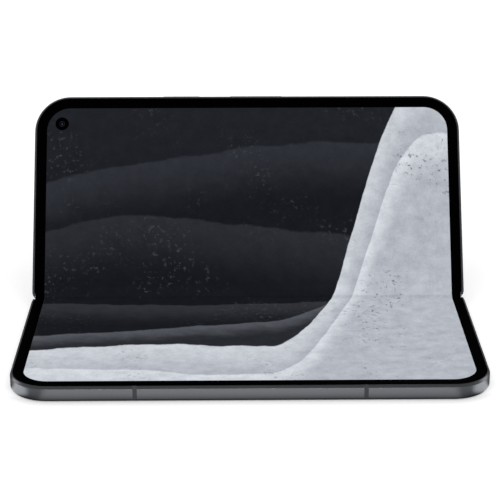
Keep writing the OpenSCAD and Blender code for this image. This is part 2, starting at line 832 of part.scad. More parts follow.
// ---- Hinge ----

// Brackets of one half, flat: a plate in the frame, ribs that turn in the hinge blocks, and cheeks with
// the curved slot for the arm's pin
module hinge_brackets(ribs) {
    color(STEEL)
        for (place = [-module_x, module_x])
            translate([place, 0, 0]) difference() {
                union() {
                    box(-module_half, module_half, bracket_start, bracket_edge, bracket_bottom, bracket_top);
                    for (x = ribs)
                        translate([x, axis_offset, -axis_depth])
                            arc_x(rib_inner, rib_outer, -45, 135, -rib_width / 2, rib_width / 2);
                    for (side = [0, 1])
                        mirror([side, 0, 0])
                            box(window_half, window_half + cheek_width, room_edge + seat_gap, window_edge,
                                cheek_bottom, bracket_top);
                }
                box(-window_half, window_half, 0, window_edge, back_z, MARGIN);
                translate([0, slot_y, slot_z])
                    arc_x(gear_reach - slot_half, gear_reach + slot_half, -slot_turn, 2 * slot_turn,
                        -slot_reach, slot_reach);
                for (x = screw_places)
                    translate([x, screw_y, back_z]) {
                        cylinder(d = screw_d + 0.1, h = 10);
                        translate([0, 0, bracket_top - 0.4 - back_z]) cylinder(d = 2 * screw_d + 0.1, h = 2);
                    }
            }
}

module bracket_screws() {
    color(STEEL)
        for (place = [-module_x, module_x], x = screw_places)
            translate([place + x, screw_y, 0]) difference() {
                union() {
                    translate([0, 0, bracket_bottom - 1.5])
                        cylinder(d = screw_d, h = bracket_top - bracket_bottom + 1.2);
                    translate([0, 0, bracket_top - 0.4]) cylinder(d = 2 * screw_d, h = 0.35);
                }
                translate([0, 0, bracket_top - 0.25]) cylinder(d = screw_d, h = 1, $fn = 6);
            }
}

// Section of the spine as a solid bar along X, flat below and round about both hinge axes
module spine_bar(radius, x0, x1, top) {
    difference() {
        union() {
            for (side = [-1, 1])
                rod_x(radius, x0, x1, side * axis_offset, -axis_depth);
            box(x0, x1, -axis_offset, axis_offset, -axis_depth - radius, -axis_depth);
        }
        box(x0 - MARGIN, x1 + MARGIN, -3 * radius, 3 * radius, top, radius + MARGIN);
    }
}

module spine_cover() {
    length = spine_half - cap_thickness;
    spine_place() color(METAL) difference() {
        spine_bar(spine_radius, -length, length, spine_top_z);
        spine_bar(spine_inner, -length - MARGIN, length + MARGIN, spine_top_z + MARGIN);
    }
}

module spine_end_caps() {
    spine_place() color(BLACK)
        for (side = [0, 1])
            mirror([side, 0, 0]) {
                spine_bar(spine_radius, spine_half - cap_thickness, spine_half, cap_top_z);
                spine_bar(block_radius, spine_half - cap_thickness - 2, spine_half - cap_thickness + 0.1,
                    spine_top_z);
            }
}

module hinge_blocks() {
    spine_place() color(STEEL)
        for (place = [-module_x, module_x])
            translate([place, 0, 0]) difference() {
                union() {
                    spine_bar(block_radius, -module_half, module_half, spine_top_z);
                    box(-bay_half - bay_wall, bay_half + bay_wall, -gear_y - 0.5, gear_y + 0.5,
                        gear_z, wall_top_z);
                }
                box(-bay_half, bay_half, -4 * axis_offset, 4 * axis_offset,
                    gear_z - tip_radius - running_gap, MARGIN);
                rib_grooves(lid_ribs);
                mirror([0, 1, 0]) rib_grooves(base_ribs);
                for (i = [-3, -1, 1, 3])
                    rod_x(shaft_radius + 0.01, -bay_half - bay_wall - MARGIN, bay_half + bay_wall + MARGIN,
                        i * pitch_radius, gear_z);
            }
}

module rib_grooves(ribs) {
    for (x = ribs)
        translate([x, axis_offset, -axis_depth]) {
            width = rib_width / 2 + running_gap;
            arc_x(rib_inner - pivot_gap, rib_outer + pivot_gap, -90, 180, -width, width);
        }
}

module gear_shafts() {
    spine_place() color(STEEL)
        for (place = [-module_x, module_x], i = [-3, -1, 1, 3])
            rod_x(shaft_radius, place - bay_half - bay_wall, place + bay_half + bay_wall,
                i * pitch_radius, gear_z);
}

// Gear about the X direction with a tooth, or a gap if shifted, towards +Y
module gear(shifted) {
    step = 360 / gear_teeth;
    rotate([90, 0, 90]) linear_extrude(gear_width, center = true) union() {
        circle(r = root_radius);
        for (i = [0 : gear_teeth - 1])
            rotate((i + (shifted ? 0.5 : 0)) * step)
                polygon([
                    [root_radius * 0.8, -pitch_radius * 0.26], [root_radius * 1.02, -pitch_radius * 0.26],
                    [pitch_radius, -pitch_radius * 0.165], [tip_radius, -pitch_radius * 0.07],
                    [tip_radius, pitch_radius * 0.07], [pitch_radius, pitch_radius * 0.165],
                    [root_radius * 1.02, pitch_radius * 0.26], [root_radius * 0.8, pitch_radius * 0.26]
                ]);
    }
}

module gear_bore() {
    rod_x(shaft_radius + pivot_gap, -gear_width, gear_width, 0, 0);
}

// Arm on the lid's side, flat: a gear, a crank that passes over the spine's rim, and a pin at its end
module sync_arm(shifted) {
    bottom = bracket_bottom;
    top = bracket_top - seat_gap;
    for (place = [-module_x, module_x])
        translate([place, gear_y, gear_z]) rotate([fold_angle, 0, 0]) difference() {
            union() {
                gear(shifted);
                rotate([90, 0, 90]) linear_extrude(gear_width, center = true)
                    polygon([
                        [-0.1, -0.5], [0.9, -0.1], [room_edge - gear_y - 0.65, bottom - gear_z],
                        [pin_y - gear_y, bottom - gear_z], [pin_y - gear_y, top - gear_z],
                        [1.28, top - gear_z], [0.58, 0.6], [0, 0.5]
                    ]);
                rod_x(0.45, -gear_width / 2, gear_width / 2, pin_y - gear_y, pin_z - gear_z);
                rod_x(pin_radius, -window_half - pin_grip, window_half + pin_grip, pin_y - gear_y,
                    pin_z - gear_z);
            }
            gear_bore();
        }
}

module lid_sync_arms() {
    spine_place() color(STEEL) sync_arm(false);
}

module base_sync_arms() {
    spine_place() color(STEEL) mirror([0, 1, 0]) sync_arm(true);
}

module idler_gears(y, turn, shifted) {
    spine_place() color(STEEL)
        for (place = [-module_x, module_x])
            translate([place, y, gear_z]) rotate([turn, 0, 0]) difference() {
                gear(shifted);
                gear_bore();
            }
}

// ---- Nodes ----

base_frame();
base_place() antenna_breaks();  // base_antenna_breaks
cover_glass();
cover_display_panel();
cover_camera();
base_battery();
base_board();
earpiece_speaker();
sim_reader();
sim_tray();
base_place() border();  // base_border
base_place() display_panel();  // base_display_panel
base_place() hinge_brackets(base_ribs);  // base_hinge_brackets
base_place() bracket_screws();  // base_bracket_screws
base_place() magnets();  // base_magnets
lid_frame();
lid_place() antenna_breaks();  // lid_antenna_breaks
rear_glass();
camera_bump();
camera_windows();
rear_camera(window_x[0], lens_y[0], lens_radius);  // wide_camera
rear_camera(window_x[0], lens_y[1], lens_radius - 0.6);  // ultrawide_camera
rear_camera(window_x[1], lens_y[0], lens_radius - 0.3);  // telephoto_camera
flash();
inner_camera();
main_board();
board_shield();
lid_battery();
charging_coil();
loudspeaker();
vibration_motor();
usb_port();
button_switches();
lid_place() border();  // lid_border
lid_display_panel();
lid_place() hinge_brackets(lid_ribs);  // lid_hinge_brackets
lid_place() bracket_screws();  // lid_bracket_screws
lid_place() magnets();  // lid_magnets
button_cap(power_x, power_length);  // power_button
button_cap(volume_x, volume_length);  // volume_rocker
spine_cover();
spine_end_caps();
hinge_blocks();
gear_shafts();
display_fold();
fold_trims();
base_sync_arms();
lid_sync_arms();
idler_gears(-pitch_radius, fold_angle, false);  // idler_gears_a
idler_gears(pitch_radius, -fold_angle, true);  // idler_gears_b
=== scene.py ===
"""Looks for a book-style folding phone that stands half open on its lying half.

Each half is modelled flat with its display up, as in the CAD: x along the hinge, y from the fold line to the
outer edge, and z = 0 on the rim's top face. Lengths are written in millimetres and times MM.
"""
import math

import bmesh
import bpy
from mathutils import Matrix, Vector


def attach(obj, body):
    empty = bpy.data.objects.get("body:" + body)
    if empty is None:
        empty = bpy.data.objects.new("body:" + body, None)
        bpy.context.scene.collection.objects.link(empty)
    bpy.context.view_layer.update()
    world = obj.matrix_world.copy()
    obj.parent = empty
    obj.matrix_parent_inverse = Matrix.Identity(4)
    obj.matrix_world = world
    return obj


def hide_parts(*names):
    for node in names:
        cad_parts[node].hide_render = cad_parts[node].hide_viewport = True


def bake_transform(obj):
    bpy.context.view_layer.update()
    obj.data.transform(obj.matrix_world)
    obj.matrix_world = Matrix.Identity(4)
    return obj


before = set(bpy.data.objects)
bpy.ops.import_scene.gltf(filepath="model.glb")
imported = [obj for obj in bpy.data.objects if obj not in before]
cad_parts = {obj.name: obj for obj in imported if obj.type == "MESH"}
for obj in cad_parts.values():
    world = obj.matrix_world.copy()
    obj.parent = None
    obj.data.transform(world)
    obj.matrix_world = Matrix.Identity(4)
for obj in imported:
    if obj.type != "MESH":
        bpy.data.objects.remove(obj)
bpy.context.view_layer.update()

MM = 0.001
scene = bpy.context.scene

# ---- Sizes, in millimetres ----

# Outline of a half, and the fold, whose places (y, z) are in the phone at rest unless they say flat
HALF_X = 77.6
FAR_EDGE = 75.25
CORNER = 13.0
FOLD = math.radians(29.7)  # turn at each of the two hinge axes
BASE_ORIGIN = (37.75, 5.1)
BASE_AXIS = (36.4, 3.9)
LID_AXIS = (38.74531, 5.23774)
AXIS_FLAT = (1.35, -1.2)  # the lid's axis in the flat half

# Folding display
DISPLAY_TOP = -0.3
DISPLAY_BACK = -1.0
DISPLAY_THINNED = 0.4  # taken off the back where the display bends
DISPLAY_RIBS = 14
PANEL_INSET = 2.65
FOLD_LENGTH = 2.8
SCREEN_SCALE = 10  # units of the screen UV map in a metre

# Display border with its lip over the rim, its strips across the fold, and the rim's rounded end there
BORDER_INSET = 1.05
BORDER_WIDTH = 3.4
BORDER_LOW = DISPLAY_TOP + 0.02
BORDER_TOP = 0.06
BORDER_ROUND = 0.16
LIP_WIDTH = 0.22
LIP_GAP = 0.012
LIP_ROUND = 0.03
ROUND_STEPS = 4
STRIP_LENGTH = 4.15
STRIP_RIBS = 12
BORDER_START = STRIP_LENGTH + 0.05
NOSE_END = 3.25
NOSE_RADIUS = 3.06
NOSE_IN = 0.6

# Inner camera, placed as (x, y) in the flat half, as everything below is
CAMERA_AT = (-67.7, 65.05)
CAMERA_HOLE = 2.45
CAMERA_RADIUS = 1.07
CAMERA_TOP = DISPLAY_TOP - 0.08
MASK_RADIUS = 2.42
MASK_LOW, MASK_TOP = DISPLAY_TOP - 0.14, DISPLAY_TOP - 0.06
MASK_ROUND = 0.03
BARREL_RADIUS = 2.2
BARREL_LOW, BARREL_TOP = -3.4, DISPLAY_TOP - 0.42
BARREL_ROUND = 0.1

# Glass on the back of each half
BACK_Z = -5.1
GLASS_TOP = -4.5
GLASS_INSET = 1.35
GLASS_START = 6.55
GLASS_ROUND = 0.22
COVER_CAMERA_AT = (-68.8, 37.75)
COVER_CAMERA_RADIUS = 2.1
COVER_CAMERA_HOLE = 2.15
COVER_CAMERA_TOP = BACK_Z + 0.05

# Camera bump
BUMP_AT = (-53.6, 48.0)
BUMP_SIZE = (36.0, 42.0)
BUMP_CORNER = 9.0
BUMP_OUT = 2.3
BUMP_TOP = BACK_Z - BUMP_OUT
BUMP_ROUND = 0.9
BUMP_SEAT = 1.95  # how far the hole in the rear glass lies inside the bump's outline
POCKET_ROUND = 0.12
LENS_Y = (57.5, 38.5)
LENS_HOLE = 4.3
WIDE_RADIUS, OTHER_RADIUS = 4.4, 4.0
FLASH_RADIUS, FLASH_RISE = 2.1, 0.08
WINDOW_X = (-62.25, -44.95)
WINDOW_RADIUS = 6.3
WINDOW_LENGTH = LENS_Y[0] - LENS_Y[1] + 2 * WINDOW_RADIUS
WINDOW_GAP = 0.05
WINDOW_ROUND = 0.1
WINDOW_Z, POCKET_FLOOR = -7.3, -6.5
POCKET_START, HOLE_START = BACK_Z - 4, WINDOW_Z + 0.5  # cutters start clear of the bump, and in the pocket
LENS_TOP = WINDOW_Z - 0.06

# Lenses as seen from outside: radii as shares of the lens's own, and heights from the top of its ring
RING_INNER, RING_LOW = 0.68, -0.3
RING_ROUND = 0.05
STEP_INNER, STEP_OUTER = 0.3, 0.7
STEP_LOW, STEP_TOP = -0.34, -0.12
DOME_RADIUS, DOME_BASE = 0.32, -0.27
DOME_RISE, DOME_RISE_SHARE = 0.12, 0.02
DOME_SIDES, DOME_STEPS = 48, 6
DOME_RIM = 0.05
DOME_LAST = 0.98  # share of the last step inwards, which leaves a small face at the top

# Buttons
BUTTON_Z = -2.65
BUTTON_OUT = 0.35
BUTTON_HALF = 1.0  # half its height
BUTTON_ROUND = 0.1
FLANGE_START = FAR_EDGE - 2.3
FLANGE_THICKNESS = 0.2
FLANGE_LONGER = 1.2
FLANGE_HEIGHT = 0.9  # as a share of the button's
POWER_X, POWER_LENGTH = -24.1, 14.0
VOLUME_X, VOLUME_LENGTH = 3.25, 19.7

# Steps in the rounded corners of a half, the bump, the windows and the buttons
CORNER_STEPS, BUMP_STEPS, PILL_STEPS, BUTTON_STEPS = 24, 14, 16, 10

# Tests on directions and places, and how operators work
ALONG, ACROSS = 0.9, 0.1
CLOSE = 0.001
THROUGH = 1.0  # how far a cutter passes the faces that it cuts
NEARLY = 0.9999  # share of a full rounding, so that two arcs don't overlap where they meet
MERGE_DISTANCE = 0.01
FINE = 1e-7  # in metres, for operators that would otherwise merge the lip's points

# Where each half, modelled flat, lies at rest
BASE_PLACE = (
    Matrix.Translation((0, BASE_ORIGIN[0] * MM, BASE_ORIGIN[1] * MM))
    @ Matrix.Rotation(math.pi, 4, "Z")
)
LID_PLACE = (
    Matrix.Translation((0, LID_AXIS[0] * MM, LID_AXIS[1] * MM))
    @ Matrix.Rotation(2 * FOLD, 4, "X")
    @ Matrix.Translation((0, -AXIS_FLAT[0] * MM, -AXIS_FLAT[1] * MM))
)

# ---- Modelling by operators ----


def only_nothing():
    bpy.ops.object.select_all(action="DESELECT")


def only(piece):
    """Makes a piece the one selected and active object."""
    only_nothing()
    piece.select_set(True)
    bpy.context.view_layer.objects.active = piece


def select_all():
    bpy.ops.mesh.select_all(action="SELECT")


def edit(piece):
    """Enters edit mode on a piece, with all of it selected."""
    only(piece)
    bpy.ops.object.mode_set(mode="EDIT")
    select_all()


def leave():
    bpy.ops.object.mode_set(mode="OBJECT")


def pick(piece, kind, test):
    """In edit mode, selects the faces, edges or vertices whose middle and direction pass a test.

    The direction is a face's or vertex's normal, or an edge's run. The middle is in millimetres.
    """
    bpy.ops.mesh.select_mode(type=kind)
    bpy.ops.mesh.select_all(action="DESELECT")
    shape = bmesh.from_edit_mesh(piece.data)
    shape.normal_update()
    for item in {"FACE": shape.faces, "EDGE": shape.edges, "VERT": shape.verts}[kind]:
        if kind == "FACE":
            middle, way = item.calc_center_median(), item.normal
        elif kind == "EDGE":
            middle = (item.verts[0].co + item.verts[1].co) / 2
            way = (item.verts[1].co - item.verts[0].co).normalized()
        else:
            middle, way = item.co, item.normal
        if test(middle / MM, way):
            item.select_set(True)
    shape.select_flush_mode()
    bmesh.update_edit_mesh(piece.data)


def bevel(width, steps, affect="EDGES", **settings):
    """Rounds what is selected, by a width in millimetres."""
    bpy.ops.mesh.bevel(offset=width * MM, segments=steps, profile=0.5, affect=affect, **settings)


def extrude(x, y):
    """Extrudes what is selected, in millimetres."""
    bpy.ops.mesh.extrude_region_move(TRANSFORM_OT_translate={"value": (x * MM, y * MM, 0)})


def move(x, z):
    """Moves what is selected, in millimetres."""
    bpy.ops.transform.translate(value=(x * MM, 0, z * MM))


def face_outwards():
    select_all()
    bpy.ops.mesh.normals_make_consistent(inside=False)


def named(name):
    """Names the object just added, with its place and size in its mesh."""
    piece = bpy.context.object
    piece.name = piece.data.name = name
    bpy.ops.object.transform_apply(location=True, rotation=True, scale=True)
    return piece


def block(name, low, high):
    """A box between two corners, in millimetres."""
    only_nothing()
    middle = [(a + b) / 2 * MM for a, b in zip(low, high)]
    bpy.ops.mesh.primitive_cube_add(size=1, location=middle)
    bpy.context.object.scale = [(b - a) * MM for a, b in zip(low, high)]
    return named(name)


def disc(name, radius, at, low, high, sides=64):
    """An upright cylinder about a place (x, y), in millimetres."""
    only_nothing()
    bpy.ops.mesh.primitive_cylinder_add(
        vertices=sides, radius=radius * MM, depth=(high - low) * MM,
        location=(at[0] * MM, at[1] * MM, (low + high) / 2 * MM),
    )
    return named(name)


def modify(piece, kind, **settings):
    """Adds a modifier with its settings and applies it."""
    only(piece)
    bpy.ops.object.modifier_add(type=kind)
    step = piece.modifiers[-1]
    for key, value in settings.items():
        setattr(step, key, value)
    bpy.ops.object.modifier_apply(modifier=step.name)


def cut(piece, cutter):
    """Takes the cutter out of a piece, and removes the cutter."""
    modify(piece, "BOOLEAN", object=cutter, operation="DIFFERENCE", solver="EXACT")
    bpy.data.objects.remove(cutter)


def smooth(piece, angle=35):
    only(piece)
    bpy.ops.object.shade_smooth_by_angle(angle=math.radians(angle))


def even(piece):
    """Weighs the shading by the faces' area, so that flat faces look flat beside rounded edges."""
    modify(piece, "WEIGHTED_NORMAL", keep_sharp=True, weight=100)


def place(piece, matrix):
    """Puts a piece modelled flat where its half is, with the place in its mesh."""
    only(piece)
    piece.matrix_world = matrix
    bpy.ops.object.transform_apply(location=True, rotation=True, scale=True)


def outline_slab(name, inset, start, low, high):
    """A plate with the half's two rounded outer corners."""
    side, far = HALF_X - inset, FAR_EDGE - inset
    piece = block(name, (-side, start, low), (side, far, high))
    edit(piece)
    pick(piece, "EDGE", lambda m, way: abs(way.z) > ALONG and m.y > far - CLOSE)
    bevel(CORNER - inset, CORNER_STEPS)
    leave()
    return piece


def round_fully(radius, steps):
    """Rounds the selected edges until their arcs meet, and merges the points where they do."""
    bevel(radius * NEARLY, steps)
    select_all()
    bpy.ops.mesh.remove_doubles(threshold=MERGE_DISTANCE * MM)


def rounded_block(name, size, at, corner, low, high):
    """A rounded rectangle about a place (x, y)."""
    (x, y), (length, width) = at, size
    piece = block(name, (x - length / 2, y - width / 2, low), (x + length / 2, y + width / 2, high))
    edit(piece)
    pick(piece, "EDGE", lambda m, way: abs(way.z) > ALONG)
    bevel(corner, BUMP_STEPS)
    leave()
    return piece


def pill(name, length, radius, at, low, high):
    """A plate with round ends, long in y."""
    x, y = at
    piece = block(name, (x - radius, y - length / 2, low), (x + radius, y + length / 2, high))
    edit(piece)
    pick(piece, "EDGE", lambda m, way: abs(way.z) > ALONG)
    round_fully(radius, PILL_STEPS)
    leave()
    return piece


def ease(piece, height, width, steps=3):
    """Rounds the edges round a piece that lie at one height, in millimetres."""
    edit(piece)
    pick(piece, "EDGE", lambda m, way: abs(m.z - height) < CLOSE and abs(way.z) < ACROSS)
    bevel(width, steps, clamp_overlap=True)
    leave()


def soften(piece, width, angle=60):
    """Rounds the edges where a piece turns by more than an angle in degrees."""
    limit = math.radians(angle)
    modify(piece, "BEVEL", width=width * MM, segments=2, limit_method="ANGLE", angle_limit=limit)


# ---- Shader maths ----


class Signal:
    """One socket of a shader, with arithmetic that adds Math nodes."""

    def __init__(self, finish, socket):
        self.finish, self.socket = finish, socket

    def math(self, operation, *values):
        """A Math node on some values, or on this signal alone."""
        inputs = dict(enumerate(values or (self,)))
        return self.finish.node("ShaderNodeMath", {"operation": operation}, inputs)

    def __add__(self, other):
        return self.math("ADD", self, other)

    def __sub__(self, other):
        return self.math("SUBTRACT", self, other)

    def __rsub__(self, other):
        return self.math("SUBTRACT", other, self)

    def __mul__(self, other):
        return self.math("MULTIPLY", self, other)


class Finish:
    """A material while it is written."""

    def __init__(self, name, tree=None):
        if tree is None:
            self.material = bpy.data.materials.new(name)
            self.material.use_nodes = True
            tree = self.material.node_tree
        self.tree = tree
        self.tree.nodes.clear()

    def node(self, kind, settings=None, inputs=None, output=0):
        """Adds a node: its settings first, then its inputs as values or signals. Gives one output."""
        made = self.tree.nodes.new(kind)
        for key, value in (settings or {}).items():
            setattr(made, key, value)
        for key, value in (inputs or {}).items():
            socket = made.inputs[key]
            if isinstance(value, Signal):
                self.tree.links.new(value.socket, socket)
            elif isinstance(value, tuple) and len(socket.default_value) == 4:
                socket.default_value = (*value, 1)
            else:
                socket.default_value = value
        return Signal(self, made.outputs[output]) if len(made.outputs) else None

    def place(self):
        return self.node("ShaderNodeTexCoord", output="Object")

    def axes(self, vector):
        """The X, Y and Z of a vector."""
        parts = self.node("ShaderNodeSeparateXYZ", {}, {0: vector}).socket.node
        return [Signal(self, socket) for socket in parts.outputs]

    def ray(self, kind):
        """1 on rays of a kind, such as Camera, Glossy or Transmission, and 0 on others."""
        return self.node("ShaderNodeLightPath", output=f"Is {kind} Ray")

    def mapped(self, at, scale, turn=0.0):
        """A place scaled along each axis and turned about Z."""
        return self.node("ShaderNodeMapping", {}, {"Vector": at, "Scale": scale, "Rotation": (0, 0, turn)})

    def noise(self, at, scale, detail=2.0, rough=0.5):
        return self.node(
            "ShaderNodeTexNoise", {}, {"Vector": at, "Scale": scale, "Detail": detail, "Roughness": rough}
        )

    def blend(self, share, first, second, kind="MIX"):
        """Mixes two colours by a share from 0 to 1."""
        settings = {"data_type": "RGBA", "blend_type": kind}
        return self.node("ShaderNodeMix", settings, {0: share, 6: first, 7: second}, 2)

    def bump(self, height, distance, strength=1.0):
        return self.node("ShaderNodeBump", {}, {"Height": height, "Distance": distance, "Strength": strength})

    def between(self, value, low, high, out_low=0.0, out_high=1.0):
        """A smooth step from out_low to out_high as a value goes from low to high."""
        return self.node(
            "ShaderNodeMapRange", {"interpolation_type": "SMOOTHSTEP"},
            {"Value": value, "From Min": low, "From Max": high, "To Min": out_low, "To Max": out_high},
        )

    def surface(self, **inputs):
        """The Principled shader on the surface, with inputs named as its sockets with _ for a space."""
        sockets = {key.replace("_", " "): value for key, value in inputs.items()}
        shader = self.node("ShaderNodeBsdfPrincipled", {}, sockets)
        self.node("ShaderNodeOutputMaterial", {}, {"Surface": shader})
        return self.material


# ---- Finishes ----


def tones(colour, *shares):
    """A colour at some shares of its brightness."""
    return [tuple(min(1, c * share) for c in colour) for share in shares]


def blasted_metal(name, colour, rough=0.36):
    """Anodised metal with a fine bead-blasted grain."""
    f = Finish(name)
    at = f.place()
    grain = f.noise(at, 9000, 2.0, 0.6)
    mottle = f.noise(at, 2600, 3.0, 0.65)
    cloud = f.noise(at, 90, 2.0)
    tone = (mottle - 0.5) * 0.34 + (cloud - 0.5) * 0.12 + 0.5
    return f.surface(
        Base_Color=f.blend(tone, *tones(colour, 0.82, 1.18)),
        Metallic=1.0,
        Roughness=(grain - 0.5) * 0.16 + (cloud - 0.5) * 0.06 + rough,
        Normal=f.bump(grain, 0.000012, 0.5),
    )


def steel(name, colour, rough, grain):
    """Steel with a fine grain, whose scale along x, y and z is given."""
    f = Finish(name)
    at = f.place()
    line = f.noise(f.mapped(at, grain), 1.0, 2.0)
    cloud = f.noise(at, 260, 3.0)
    return f.surface(
        Base_Color=f.blend(line * 0.6 + cloud * 0.4, *tones(colour, 0.84, 1.12)),
        Metallic=1.0,
        Roughness=line * 0.12 + cloud * 0.08 + (rough - 0.1),
        Normal=f.bump(line, 0.000006, 0.4),
    )


def plastic(name, colour, rough=0.45, level=0.4, grain=3200):
    """Moulded plastic with a fine texture."""
    f = Finish(name)
    at = f.place()
    fine = f.noise(at, grain, 2.0)
    cloud = f.noise(at, 140, 2.0)
    return f.surface(
        Base_Color=f.blend(fine * 0.5 + cloud * 0.5, *tones(colour, 0.8, 1.25)),
        Roughness=(fine - 0.5) * 0.12 + (cloud - 0.5) * 0.08 + rough,
        Specular_IOR_Level=level,
        Normal=f.bump(fine, 0.000008, 0.35),
    )


def dark_glass(name, colour, rough=0.06, flake=0.0, level=0.5):
    """Glass over a dark coat, with faint unevenness in its gloss."""
    f = Finish(name)
    at = f.place()
    cloud = f.noise(at, 22, 3.0)
    speck = f.noise(at, 5200, 1.0)
    return f.surface(
        Base_Color=f.blend(cloud * 0.6 + speck * 0.4, *tones(colour, 0.85, 1.2 + flake)),
        Roughness=(cloud - 0.5) * 0.04 + (speck - 0.5) * flake * 0.4 + rough,
        Specular_IOR_Level=level,
        Normal=f.bump(cloud, 0.00002, 0.15),
    )


def screen(name):
    """The lit display: soft layered dunes in slate and pale grey, with a fine grain.

    The screen UV map holds x and the distance from the fold line, in units of 100 mm.
    """
    f = Finish(name)
    uv = f.node("ShaderNodeUVMap", {"uv_map": "screen"})
    x, y, _ = f.axes(uv)
    warp = f.noise(uv, 1.7, 8.0, 0.6) - 0.5
    grain = f.noise(uv, 210, 2.0, 0.7) - 0.5
    streak = f.noise(f.mapped(uv, (12, 24, 1), 0.5), 1.0, 4.0, 0.6) - 0.5
    colour = f.blend(f.between(y, 0.1, 0.8), (0.0085, 0.0096, 0.013), (0.0145, 0.0165, 0.0215))
    # Each layer: crest height, swing, waves, phase, rise to the right, colours at the crest and deep, depth
    layers = (
        (0.50, 0.06, 2.3, 0.6, 0.0, (0.027, 0.030, 0.038), (0.0085, 0.0096, 0.013), 0.22),
        (0.26, 0.08, 2.9, 2.4, 0.0, (0.023, 0.0255, 0.032), (0.0075, 0.0085, 0.0115), 0.24),
        (-0.02, 0.05, 3.3, 4.4, 0.0, (0.030, 0.032, 0.038), (0.0085, 0.0095, 0.0125), 0.2),
        (-0.27, 0.05, 2.6, 1.1, 0.55, (0.085, 0.091, 0.106), (0.020, 0.022, 0.027), 0.12),
        (-0.46, 0.045, 3.1, 3.4, 1.35, (0.60, 0.63, 0.68), (0.40, 0.42, 0.47), 0.3),
        (-0.62, 0.035, 2.4, 5.3, 1.25, (0.66, 0.69, 0.74), (0.46, 0.485, 0.54), 0.2),
    )
    first_pale = 4
    sweep = f.between(x, 0.06, 0.66)
    insides = []
    for height, swing, waves, phase, rise, crest, deep, depth in layers:
        wave = (x * waves + (phase + height * 2)).math("SINE")
        below = wave * swing + x * (0.0 if rise else 0.1) + warp * 0.13 + sweep * rise + height - y
        insides.append(f.between(below, -0.003, 0.008))
        depth_share = f.between(below + streak * 0.09, 0.0, depth)
        colour = f.blend(insides[-1], colour, f.blend(depth_share, crest, deep))
    # Fine sand: soft mottling, scattered dark grit where it is pale, and faint glints where it is dark
    pale = insides[first_pale]
    sand = f.noise(uv, 20, 8.0, 0.75) - 0.5
    patch = f.between(f.noise(uv, 3.2, 3.0, 0.6), 0.47, 0.66)
    grit = f.between(f.noise(uv, 58, 3.0, 0.7), 0.555, 0.66)
    # Painted shade along the fold line, and a painted reflection as a paler band on the lid's side of it,
    # where the display bends
    line = f.between(y.math("ABSOLUTE"), 0.0, 0.012, -0.10, 0.0)
    crease = line + f.between(y, 0.004, 0.012) * f.between(y, 0.035, 0.06, 0.10, 0.0)
    tone = sand * 1.1 + streak * 0.4 + grain * 0.45 + crease + 0.5
    shade = f.blend(tone, (0.6, 0.61, 0.62), (1.36, 1.35, 1.34))
    colour = f.blend(1.0, colour, shade, "MULTIPLY")
    colour = f.blend(grit * patch * pale * 0.8, colour, (0.10, 0.11, 0.125))
    colour = f.blend(grit * (1 - pale) * patch * 0.3, colour, (0.12, 0.13, 0.15))
    return f.surface(
        Base_Color=(0.001, 0.001, 0.0012),
        Roughness=grain * 0.02 + 0.12,
        Specular_IOR_Level=0.015,
        Emission_Color=colour,
        Emission_Strength=1.0,
    )


def wound_wire(name):
    """Flat coil of copper wire, with its turns about the coil's middle."""
    f = Finish(name)
    at = f.place()
    waves = f.node(
        "ShaderNodeTexWave", {"wave_type": "RINGS", "rings_direction": "SPHERICAL"},
        {"Vector": at, "Scale": 900.0, "Distortion": 0.4},
        1,
    )
    fine = f.noise(at, 700, 2.0)
    return f.surface(
        Base_Color=f.blend(waves * 0.7 + fine * 0.3, (0.3, 0.12, 0.05), (0.72, 0.38, 0.2)),
        Metallic=1.0,
        Roughness=fine * 0.2 + 0.25,
        Normal=f.bump(waves, 0.00004, 0.6),
    )


def circuit_board(name):
    """Lacquered board with faint square tracks."""
    f = Finish(name)
    at = f.place()
    colours = {"Color1": (0.0, 0.0, 0.0), "Color2": (0.2, 0.2, 0.2), "Mortar": (1.0, 1.0, 1.0)}
    inputs = {"Vector": at, "Scale": 420.0, "Mortar Size": 0.04, **colours}
    tracks = f.node("ShaderNodeTexBrick", {"offset": 0.37}, inputs, 1)
    cloud = f.noise(at, 300, 2.0)
    return f.surface(
        Base_Color=f.blend(tracks * 0.6 + cloud * 0.3, (0.01, 0.05, 0.03), (0.04, 0.16, 0.09)),
        Roughness=cloud * 0.2 + 0.3,
        Specular_IOR_Level=0.5,
        Normal=f.bump(tracks, 0.00002, 0.5),
    )


def foil(name):
    """Wrapped battery pouch, a little creased."""
    f = Finish(name)
    at = f.place()
    crease = f.noise(at, 120, 4.0, 0.6)
    fine = f.noise(at, 2400, 1.0)
    return f.surface(
        Base_Color=f.blend(crease * 0.7 + fine * 0.3, (0.05, 0.052, 0.058), (0.13, 0.135, 0.145)),
        Metallic=0.6,
        Roughness=crease * 0.25 + 0.28,
        Normal=f.bump(crease, 0.00015, 0.5),
    )


def lens_with_painted_glint(name):
    """Front element of a camera, dark, with a painted violet glint in its base colour where it faces the
    viewer.
    """
    f = Finish(name)
    facing = f.node("ShaderNodeLayerWeight", {}, {"Blend": 0.35}, 1)
    cloud = f.noise(f.place(), 900, 2.0)
    return f.surface(
        Base_Color=f.blend(facing, (0.03, 0.018, 0.13), (0.002, 0.002, 0.003)),
        Roughness=cloud * 0.02 + 0.02,
        Specular_IOR_Level=0.9,
        Coat_Weight=1.0,
        Coat_Roughness=0.02,
    )


